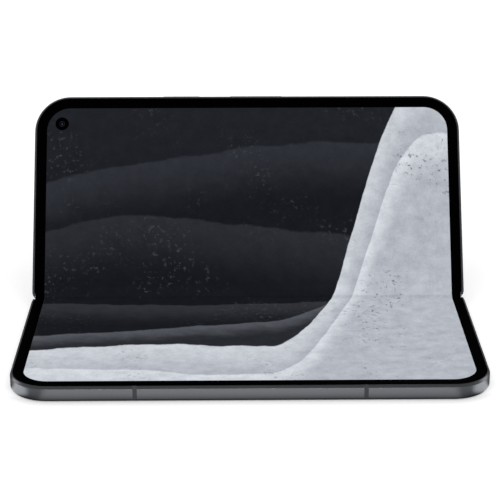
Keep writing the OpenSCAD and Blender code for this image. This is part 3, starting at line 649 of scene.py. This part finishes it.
METAL = blasted_metal("satin_metal", (0.215, 0.224, 0.24), 0.3)
TRIM_METAL = blasted_metal("trim_metal", (0.265, 0.275, 0.29), 0.28)
SPINE_METAL = blasted_metal("spine_metal", (0.15, 0.157, 0.168), 0.3)
STEEL = steel("hinge_steel", (0.47, 0.48, 0.5), 0.3, (60, 5200, 5200))
SHIELD = steel("shield_steel", (0.55, 0.55, 0.54), 0.38, (900, 900, 900))
BREAK_PLASTIC = plastic("antenna_plastic", (0.052, 0.055, 0.06), 0.42)
BORDER = plastic("border_black", (0.0003, 0.0003, 0.00035), 0.6, 0.006, 5200)
BLACK_PLASTIC = plastic("black_plastic", (0.012, 0.012, 0.013), 0.5)
LENS_BLACK = plastic("lens_black", (0.001, 0.001, 0.0011), 0.5, 0.06)
CAP_BLACK = plastic("cap_black", (0.006, 0.006, 0.0065), 0.38)
COVER_GLASS = dark_glass("cover_glass", (0.006, 0.0065, 0.008))
REAR_GLASS = dark_glass("rear_glass", (0.052, 0.055, 0.062), 0.3, 0.3)
LENS_PANE = dark_glass("lens_pane", (0.003, 0.003, 0.004), 0.03, 0.0, 0.6)
SCREEN = screen("screen_display")
LENS = lens_with_painted_glint("lens_glass")
LENS_RING = blasted_metal("lens_ring_metal", (0.05, 0.05, 0.054), 0.42)
FLASH = plastic("flash_lens", (0.78, 0.74, 0.55), 0.16, 0.6, 1600)
COPPER = wound_wire("coil_copper")
BOARD = circuit_board("board_green")
FOIL = foil("battery_foil")

NODE_FINISH = {
    METAL: ("base_frame", "lid_frame", "sim_tray", "power_button", "volume_rocker", "camera_bump"),
    SPINE_METAL: ("spine_cover",),
    BREAK_PLASTIC: ("base_antenna_breaks", "lid_antenna_breaks"),
    BORDER: ("base_border", "lid_border", "fold_trims"),
    CAP_BLACK: ("spine_end_caps",),
    COVER_GLASS: ("cover_glass",),
    REAR_GLASS: ("rear_glass",),
    LENS_PANE: ("camera_windows", "cover_camera"),
    SCREEN: ("base_display_panel", "lid_display_panel", "display_fold"),
    BLACK_PLASTIC: (
        "cover_display_panel", "earpiece_speaker", "loudspeaker", "wide_camera", "ultrawide_camera",
        "telephoto_camera",
    ),
    LENS_BLACK: ("inner_camera",),
    FLASH: ("flash",),
    STEEL: (
        "base_hinge_brackets", "lid_hinge_brackets", "hinge_blocks", "gear_shafts", "base_sync_arms",
        "lid_sync_arms", "idler_gears_a", "idler_gears_b", "base_bracket_screws", "lid_bracket_screws",
        "usb_port", "button_switches",
    ),
    SHIELD: ("board_shield", "sim_reader", "vibration_motor", "base_magnets", "lid_magnets"),
    COPPER: ("charging_coil",),
    BOARD: ("base_board", "main_board"),
    FOIL: ("base_battery", "lid_battery"),
}


def coat(piece, material):
    """Gives a piece one material."""
    piece.data.materials.clear()
    piece.data.materials.append(material)


for material, nodes in NODE_FINISH.items():
    for node in nodes:
        coat(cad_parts[node], material)

# ---- Folding display ----


def swing(point, axis, angle):
    """Turns a point (y, z) about an axis (y, z), in millimetres."""
    y, z = point[0] - axis[0], point[1] - axis[1]
    c, s = math.cos(angle), math.sin(angle)
    return (axis[0] + y * c - z * s, axis[1] + y * s + z * c)


def share_along(point, start, end):
    d = (end[0] - start[0], end[1] - start[1])
    t = ((point[0] - start[0]) * d[0] + (point[1] - start[1]) * d[1]) / (d[0] ** 2 + d[1] ** 2)
    t = min(1, max(0, t))
    return t * t * (3 - 2 * t)


FOLD_FLAT = (BASE_ORIGIN[0], BASE_ORIGIN[1] + DISPLAY_TOP)
FOLD_MIDDLE = swing(FOLD_FLAT, BASE_AXIS, FOLD)
BASE_START = (FOLD_FLAT[0] - FOLD_LENGTH, FOLD_FLAT[1])
LID_END = swing(swing((FOLD_FLAT[0] + FOLD_LENGTH, FOLD_FLAT[1]), BASE_AXIS, FOLD), LID_AXIS, FOLD)
SPAN = {"base": (BASE_START, FOLD_MIDDLE, BASE_AXIS), "lid": (FOLD_MIDDLE, LID_END, LID_AXIS)}
HALVINGS = 40  # steps of the search for a point's share of the turn


def bend(piece, half):
    start, end, axis = SPAN[half]
    for v in piece.data.vertices:
        rigid = (v.co.y / MM, v.co.z / MM)
        flat = rigid if half == "base" else swing(rigid, axis, -FOLD)
        low, high = 0.0, 1.0
        for _ in range(HALVINGS):
            share = (low + high) / 2
            if share_along(swing(flat, axis, share * FOLD), start, end) > share:
                low = share
            else:
                high = share
        y, z = swing(flat, axis, (low + high) / 2 * FOLD)
        v.co.y, v.co.z = y * MM, z * MM
    start[0] * MM
    start[1] * MM
    end[0] * MM
    end[1] * MM
    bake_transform(piece)


def ribs_across(piece, ribs):
    """Cuts a flat piece across near the fold, so that it can bend."""
    edit(piece)
    for i in range(1, ribs + 1):
        select_all()
        bpy.ops.mesh.bisect(plane_co=(0, FOLD_LENGTH * i / ribs * MM, 0), plane_no=(0, 1, 0))
    leave()


def screen_map(piece, side):
    """Writes the screen UV map: x and the distance from the fold, positive on the lid, per 100 mm."""
    layer = piece.data.uv_layers.new(name="screen")
    for loop in piece.data.loops:
        at = piece.data.vertices[loop.vertex_index].co
        layer.data[loop.index].uv = (at.x * side * SCREEN_SCALE, at.y * side * SCREEN_SCALE)


for half, name, matrix, side, node in (
    ("base", "display_lying", BASE_PLACE, -1, "base_display_panel"),
    ("lid", "display_standing", LID_PLACE, 1, "lid_display_panel"),
):
    piece = outline_slab(name, PANEL_INSET, 0, DISPLAY_BACK, DISPLAY_TOP)
    if half == "lid":
        low, high = DISPLAY_BACK - THROUGH, DISPLAY_TOP + THROUGH
        cut(piece, disc("camera_hole", CAMERA_HOLE, CAMERA_AT, low, high))
    ribs_across(piece, DISPLAY_RIBS)
    edit(piece)
    pick(piece, "VERT", lambda m, way: m.z < DISPLAY_BACK + CLOSE and m.y < FOLD_LENGTH - CLOSE)
    move(0, DISPLAY_THINNED)
    leave()
    while piece.data.uv_layers:
        piece.data.uv_layers.remove(piece.data.uv_layers[0])
    screen_map(piece, side)
    place(piece, matrix)
    smooth(piece)
    coat(piece, SCREEN)
    bend(piece, half)
    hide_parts(node, "display_fold")

# ---- Borders ----


def border_section(name, start):
    """The border's section as an upright face, with a lip over the rim and its top edges rounded."""
    only_nothing()
    outer, inner = -HALF_X + BORDER_INSET, -HALF_X + BORDER_INSET + BORDER_WIDTH
    middle = ((outer + inner) / 2 * MM, start * MM, (BORDER_LOW + BORDER_TOP) / 2 * MM)
    bpy.ops.mesh.primitive_plane_add(size=1, location=middle, rotation=(math.pi / 2, 0, 0))
    bpy.context.object.scale = (BORDER_WIDTH * MM, (BORDER_TOP - BORDER_LOW) * MM, 1)
    piece = named(name)
    edit(piece)
    pick(piece, "VERT", lambda m, way: m.z > BORDER_TOP - CLOSE and m.x > inner - CLOSE)
    bevel(BORDER_ROUND, ROUND_STEPS, "VERTICES")
    select_all()
    bpy.ops.mesh.bisect(plane_co=(0, 0, LIP_GAP * MM), plane_no=(0, 0, 1), threshold=FINE)
    pick(piece, "EDGE", lambda m, way: m.x < outer + CLOSE and m.z > LIP_GAP + CLOSE)
    extrude(-LIP_WIDTH, 0)
    pick(piece, "VERT", lambda m, way: m.z > BORDER_TOP - CLOSE and m.x < outer - LIP_WIDTH + CLOSE)
    bevel(LIP_ROUND, ROUND_STEPS, "VERTICES")
    select_all()
    return piece


def turn_corner(x, y):
    """Spins the selected section a quarter turn to the right about a corner's centre."""
    bpy.ops.mesh.spin(steps=CORNER_STEPS, angle=math.pi / 2, center=(x * MM, y * MM, 0), axis=(0, 0, 1))


for name, matrix, body, node in (
    ("border_lying", BASE_PLACE, "base", "base_border"),
    ("border_standing", LID_PLACE, "lid", "lid_border"),
):
    piece = border_section(name, BORDER_START)
    side, far = HALF_X - CORNER, FAR_EDGE - CORNER
    extrude(0, far - BORDER_START)
    turn_corner(-side, far)
    extrude(2 * side, 0)
    turn_corner(side, far)
    extrude(0, BORDER_START - far)
    select_all()
    bpy.ops.mesh.remove_doubles(threshold=FINE)
    face_outwards()
    leave()
    place(piece, matrix)
    smooth(piece)
    coat(piece, BORDER)
    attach(piece, body)
    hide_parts(node)


def draw_in(piece):
    """Draws the outer side of a border strip in towards the fold, where the rim is drawn in too."""
    edge = -HALF_X + BORDER_INSET
    rows = sorted({round(v.co.y / MM, 3) for v in piece.data.vertices})
    edit(piece)
    for row in rows:
        drop = min(max(0, NOSE_END - row), NOSE_RADIUS)
        inwards = min(NOSE_IN, NOSE_RADIUS - math.sqrt(NOSE_RADIUS**2 - drop**2))
        pick(piece, "VERT", lambda m, way: abs(m.y - row) < CLOSE and m.x < edge + CLOSE)
        move(inwards, 0)
    leave()


for half, name, matrix in (
    ("base", "fold_strips_lying", BASE_PLACE),
    ("lid", "fold_strips_standing", LID_PLACE),
):
    piece = border_section(name, 0)
    extrude(0, STRIP_LENGTH)
    face_outwards()
    leave()
    ribs_across(piece, STRIP_RIBS)
    draw_in(piece)
    modify(piece, "MIRROR", use_axis=(True, False, False))
    edit(piece)
    face_outwards()
    leave()
    place(piece, matrix)
    smooth(piece)
    coat(piece, BORDER)
    bend(piece, half)
    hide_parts("fold_trims")

# ---- Lenses, and the inner camera ----


def ring(name, inner, outer, at, low, high):
    """A flat ring with softened edges, about a place (x, y)."""
    piece = disc(name, outer, at, low, high)
    edit(piece)
    pick(piece, "FACE", lambda m, way: abs(way.z) > ALONG)
    bpy.ops.mesh.delete(type="FACE")
    leave()
    modify(piece, "SOLIDIFY", thickness=(outer - inner) * MM, offset=-1, use_even_offset=True)
    soften(piece, RING_ROUND, 50)
    return piece


def dome(name, radius, at, base, rise):
    """A shallow lens cap that bulges along +z."""
    piece = disc(name, radius, at, base - DOME_RIM, base, DOME_SIDES)
    edit(piece)
    pick(piece, "FACE", lambda m, way: way.z > ALONG)
    angles = [math.pi / 2 * i / DOME_STEPS for i in range(DOME_STEPS + 1)]
    for before, now in zip(angles, angles[1:]):
        inwards = radius * (math.cos(before) - math.cos(now))
        if now == angles[-1]:
            inwards *= DOME_LAST
        bpy.ops.mesh.inset(thickness=inwards * MM, depth=0)
        move(0, rise * (math.sin(now) - math.sin(before)))
    leave()
    return piece


def back_turn(matrix, at, level):
    """Place of something modelled face up at a height, turned over so that it faces out of the back."""
    return matrix @ Matrix.Translation((0, 2 * at[1] * MM, 2 * level * MM)) @ Matrix.Rotation(math.pi, 4, "X")


def lens_set(name, at, radius, top, body, matrix, behind=False):
    """A camera as seen from outside: a ring, a stepped black barrel mouth and a coated lens with a painted
    violet glint.

    top is the height of the ring's top. A lens behind faces out of the back.
    """
    turn = back_turn(matrix, at, top) if behind else matrix
    step_radii = radius * STEP_INNER, radius * STEP_OUTER
    rise = DOME_RISE + radius * DOME_RISE_SHARE
    for shape, finish in (
        (ring(name + "_ring", radius * RING_INNER, radius, at, top + RING_LOW, top), LENS_RING),
        (ring(name + "_step", *step_radii, at, top + STEP_LOW, top + STEP_TOP), LENS_BLACK),
        (dome(name + "_lens", radius * DOME_RADIUS, at, top + DOME_BASE, rise), LENS),
    ):
        place(shape, turn)
        smooth(shape, 40)
        even(shape)
        coat(shape, finish)
        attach(shape, body)


def finish_piece(piece, matrix, material, slot, body, *nodes):
    """Puts a rigid piece in its place with its finish, riding on its body in the place of its nodes."""
    place(piece, matrix)
    smooth(piece)
    even(piece)
    coat(piece, material)
    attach(piece, body)
    if nodes:
        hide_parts(*nodes)


plate = disc("inner_camera_mask", MASK_RADIUS, CAMERA_AT, MASK_LOW, MASK_TOP)
cut(plate, disc("mask_cut", CAMERA_RADIUS, CAMERA_AT, MASK_LOW - THROUGH, MASK_TOP + THROUGH))
ease(plate, MASK_TOP, MASK_ROUND, 2)
place(plate, LID_PLACE)
smooth(plate)
coat(plate, BORDER)
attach(plate, "lid")
lens_set("inner_camera", CAMERA_AT, CAMERA_RADIUS, CAMERA_TOP, "lid", LID_PLACE)

barrel = disc("inner_camera_body", BARREL_RADIUS, CAMERA_AT, BARREL_LOW, BARREL_TOP)
soften(barrel, BARREL_ROUND)
finish_piece(barrel, LID_PLACE, LENS_BLACK, "camera_black", "lid", "inner_camera")

# ---- Back of the phone ----


def glass_pane(name):
    """The glass on the back of a half, with its outer edges eased."""
    piece = outline_slab(name, GLASS_INSET, GLASS_START, BACK_Z, GLASS_TOP)
    ease(piece, BACK_Z, GLASS_ROUND)
    return piece


hole_low, hole_high = BACK_Z - THROUGH, GLASS_TOP + THROUGH
pane = glass_pane("cover_pane")
cut(pane, disc("cover_camera_hole", COVER_CAMERA_HOLE, COVER_CAMERA_AT, hole_low, hole_high))
finish_piece(pane, BASE_PLACE, COVER_GLASS, "glass", "base", "cover_glass")
lens_set(
    "cover_camera", COVER_CAMERA_AT, COVER_CAMERA_RADIUS, COVER_CAMERA_TOP, "base", BASE_PLACE, behind=True
)

pane = glass_pane("rear_pane")
seat_size = [length - 2 * BUMP_SEAT for length in BUMP_SIZE]
seat_corner = BUMP_CORNER - BUMP_SEAT
cut(pane, rounded_block("bump_hole", seat_size, BUMP_AT, seat_corner, hole_low, hole_high))
finish_piece(pane, LID_PLACE, REAR_GLASS, "glass", "lid", "rear_glass")

bump = rounded_block("bump_body", BUMP_SIZE, BUMP_AT, BUMP_CORNER, BUMP_TOP, BACK_Z)
ease(bump, BUMP_TOP, BUMP_ROUND, 5)
for x in WINDOW_X:
    middle = (x, BUMP_AT[1])
    cut(bump, pill("window_pocket", WINDOW_LENGTH, WINDOW_RADIUS, middle, POCKET_START, POCKET_FLOOR))
    for y in LENS_Y:
        cut(bump, disc("barrel_hole", LENS_HOLE, (x, y), HOLE_START, BACK_Z + THROUGH, DOME_SIDES))
soften(bump, POCKET_ROUND)
finish_piece(bump, LID_PLACE, METAL, "frame_metal", "lid", "camera_bump")

for side, x in zip(("outer", "inner"), WINDOW_X):
    length, radius = WINDOW_LENGTH - 2 * WINDOW_GAP, WINDOW_RADIUS - WINDOW_GAP
    pane = pill("window_" + side, length, radius, (x, BUMP_AT[1]), WINDOW_Z, POCKET_FLOOR)
    soften(pane, WINDOW_ROUND)
    finish_piece(pane, LID_PLACE, LENS_PANE, "camera_black", "lid", "camera_windows")
for name, at, radius in (
    ("wide", (WINDOW_X[0], LENS_Y[0]), WIDE_RADIUS),
    ("telephoto", (WINDOW_X[0], LENS_Y[1]), OTHER_RADIUS),
    ("ultrawide", (WINDOW_X[1], LENS_Y[0]), OTHER_RADIUS),
):
    lens_set(name + "_front", at, radius, LENS_TOP, "lid", LID_PLACE, behind=True)
lamp_at = (WINDOW_X[1], LENS_Y[1])
lamp = dome("flash_front", FLASH_RADIUS, lamp_at, WINDOW_Z, FLASH_RISE)
finish_piece(lamp, back_turn(LID_PLACE, lamp_at, WINDOW_Z), FLASH, "flash_lens", "lid")

# ---- Buttons ----


def button(name, x, length, body):
    """A rounded cap with the flange that keeps it in the rim."""
    inner, outer = FLANGE_START + FLANGE_THICKNESS, FAR_EDGE + BUTTON_OUT
    low, high = BUTTON_Z - BUTTON_HALF, BUTTON_Z + BUTTON_HALF
    piece = block(name, (x - length / 2, inner, low), (x + length / 2, outer, high))
    edit(piece)
    pick(piece, "EDGE", lambda m, way: abs(way.y) > ALONG)
    round_fully(BUTTON_HALF, BUTTON_STEPS)
    pick(piece, "EDGE", lambda m, way: abs(m.y - outer) < CLOSE and abs(way.y) < ACROSS)
    bevel(BUTTON_ROUND, 3)
    pick(piece, "FACE", lambda m, way: way.y < -ALONG)
    bpy.ops.mesh.extrude_region_move()
    flange_scale = (1 + FLANGE_LONGER / length, 1, FLANGE_HEIGHT)
    bpy.ops.transform.resize(value=flange_scale, center_override=(x * MM, inner * MM, BUTTON_Z * MM))
    extrude(0, -FLANGE_THICKNESS)
    face_outwards()
    leave()
    finish_piece(piece, LID_PLACE, TRIM_METAL, "frame_metal", body, body)


button("power_cap", POWER_X, POWER_LENGTH, "power_button")
button("volume_cap", VOLUME_X, VOLUME_LENGTH, "volume_rocker")

# ---- Camera, light and floor, in metres ----

VIEW_PLACE = (-0.0050794, -0.5057639, 0.2248386)
VIEW_ASIDE, VIEW_DOWN, VIEW_ROLL = -0.6, -20.366, 0.045  # in degrees
VIEW_LENS, SENSOR_WIDTH = 117.477, 36.0  # in millimetres
LIGHT_AIM = Vector((0, 0.02, 0.01))
FLOOR_SIZE, FLOOR_Z = 8, -0.00005
SPREAD_LEVEL = 0.62  # light of the world on matt surfaces


def make_camera():
    """The camera stands in front and a little above, and looks down at the fold."""
    data = bpy.data.cameras.new("camera")
    data.lens, data.sensor_width, data.sensor_fit = VIEW_LENS, SENSOR_WIDTH, "HORIZONTAL"
    data.clip_start, data.clip_end = 0.01, 50
    camera = bpy.data.objects.new("camera", data)
    scene.collection.objects.link(camera)
    turn = (
        Matrix.Rotation(math.radians(VIEW_ASIDE), 3, "Z")
        @ Matrix.Rotation(math.radians(VIEW_DOWN), 3, "X")
        @ Matrix.Rotation(math.radians(VIEW_ROLL), 3, "Y")
    )
    right, ahead, up = (turn @ Vector(v) for v in ((1, 0, 0), (0, 1, 0), (0, 0, 1)))
    camera.matrix_world = Matrix.Translation(VIEW_PLACE) @ Matrix((right, up, -ahead)).transposed().to_4x4()
    scene.camera = camera


def panel_light(name, at, size, power, gloss_only=False, hidden_gloss=False):
    """A soft box that faces the phone."""
    data = bpy.data.lights.new(name, "AREA")
    data.shape, data.size, data.size_y, data.energy = "RECTANGLE", size[0], size[1], power
    light = bpy.data.objects.new(name, data)
    scene.collection.objects.link(light)
    light.location = at
    light.rotation_euler = (LIGHT_AIM - Vector(at)).to_track_quat("-Z", "Y").to_euler()
    light.visible_camera = False
    light.visible_diffuse = not gloss_only
    light.visible_glossy = not hidden_gloss


def make_floor():
    """A white floor that clips to white where it is lit, and keeps the phone's soft shadow. To glossy rays it
    shows painted shade and painted highlights by place, which the metal mirrors.

    Each step between two values of x, y or away starts and ends at a distance in metres.
    """
    only_nothing()
    bpy.ops.mesh.primitive_plane_add(size=FLOOR_SIZE, location=(0, 0, FLOOR_Z))
    floor = bpy.context.object
    floor.name = "floor"
    f = Finish("floor_white")
    path, gloss, through = f.ray("Camera"), f.ray("Glossy"), f.ray("Transmission")
    x, y, _ = f.axes(f.place())
    x = x.math("ABSOLUTE")
    # How far a point lies outside the lying half's outline, from the centres of its front corners
    out_x = x.math("MAXIMUM", x - (HALF_X - CORNER) * MM, 0.0)
    out_y = y.math("MAXIMUM", y * -1 - (FAR_EDGE - BASE_ORIGIN[0] - CORNER) * MM, 0.0)
    away = (out_x * out_x + out_y * out_y).math("SQRT") - CORNER * MM
    # Painted reflections, seen only by glossy rays: a painted shadow near the outline, more painted shade
    # towards the back and beside the corners, and painted highlights in strips beside the front corners and
    # behind the phone
    front = f.between(y, -0.03, 0.0, 1.0, 0.2)
    painted_shade_dip = f.between(x, 0.0665, 0.070, 1.0, 0.45)
    near = f.between(away, 0.0, 0.007, 0.10, 0.8) * front * painted_shade_dip
    across = f.between(x, 0.0735, 0.077) * f.between(x, 0.086, 0.1, 1.0, 0.0)
    along = f.between(y, -0.0400, -0.0375) * f.between(y, -0.0295, -0.0255, 1.0, 0.0)
    beside = across * along * 1.15
    behind = f.between(x, 0.03, 0.070, 0.55, 0.0) * f.between(y, 0.03, 0.05)
    # What the camera sees: a white lifted less within 5 mm of the front edge and front corners, a painted
    # shadow that deepens the real shadow there
    clear = away.math("MAXIMUM", f.between(away, 0.0, 0.005), f.between(y, -0.0375, -0.031))
    seen = (path + through) * (clear * 0.2 + f.between(y, 0.08, 1.0, 0.21, 0.8))
    # Glossy rays see no diffuse floor, only the painted reflections above
    tint = f.blend(gloss, (0.82, 0.82, 0.82), (0.0, 0.0, 0.0))
    white = f.node("ShaderNodeBsdfDiffuse", {}, {"Color": tint})
    strength = seen + gloss * (near + beside + behind)
    lift = f.node("ShaderNodeEmission", {}, {"Color": (1.0, 1.0, 1.0), "Strength": strength})
    both = f.node("ShaderNodeAddShader", {}, {0: white, 1: lift})
    f.node("ShaderNodeOutputMaterial", {}, {"Surface": both})
    floor.data.materials.append(f.material)


def make_world():
    """White behind the phone, and a studio that is darker overhead."""
    world = bpy.data.worlds.new("studio")
    scene.world = world
    world.use_nodes = True
    f = Finish("studio", world.node_tree)
    _, _, height = f.axes(f.node("ShaderNodeTexCoord", output="Generated"))
    path, gloss, through = f.ray("Camera"), f.ray("Glossy"), f.ray("Transmission")
    mirrored = f.between(height, 0.1, 0.55, 0.42, 0.13)
    level = path + (1 - path) * (gloss * mirrored + through + (1 - gloss - through) * SPREAD_LEVEL)
    back = f.node("ShaderNodeBackground", {}, {"Color": (1.0, 1.0, 1.0), "Strength": level})
    f.node("ShaderNodeOutputWorld", {}, {"Surface": back})


make_camera()
make_floor()
make_world()
panel_light("top_panel", (0.0, -0.25, 0.95), (1.3, 0.9), 3.8, hidden_gloss=True)
panel_light("front_panel", (0, -1.1, 0.14), (0.9, 0.1), 1.6, gloss_only=True)
panel_light("left_panel", (-0.8, 0.2, 0.12), (0.4, 0.2), 0.25, gloss_only=True)
panel_light("right_panel", (0.8, 0.2, 0.12), (0.4, 0.2), 0.25, gloss_only=True)

scene.view_settings.view_transform = "Standard"
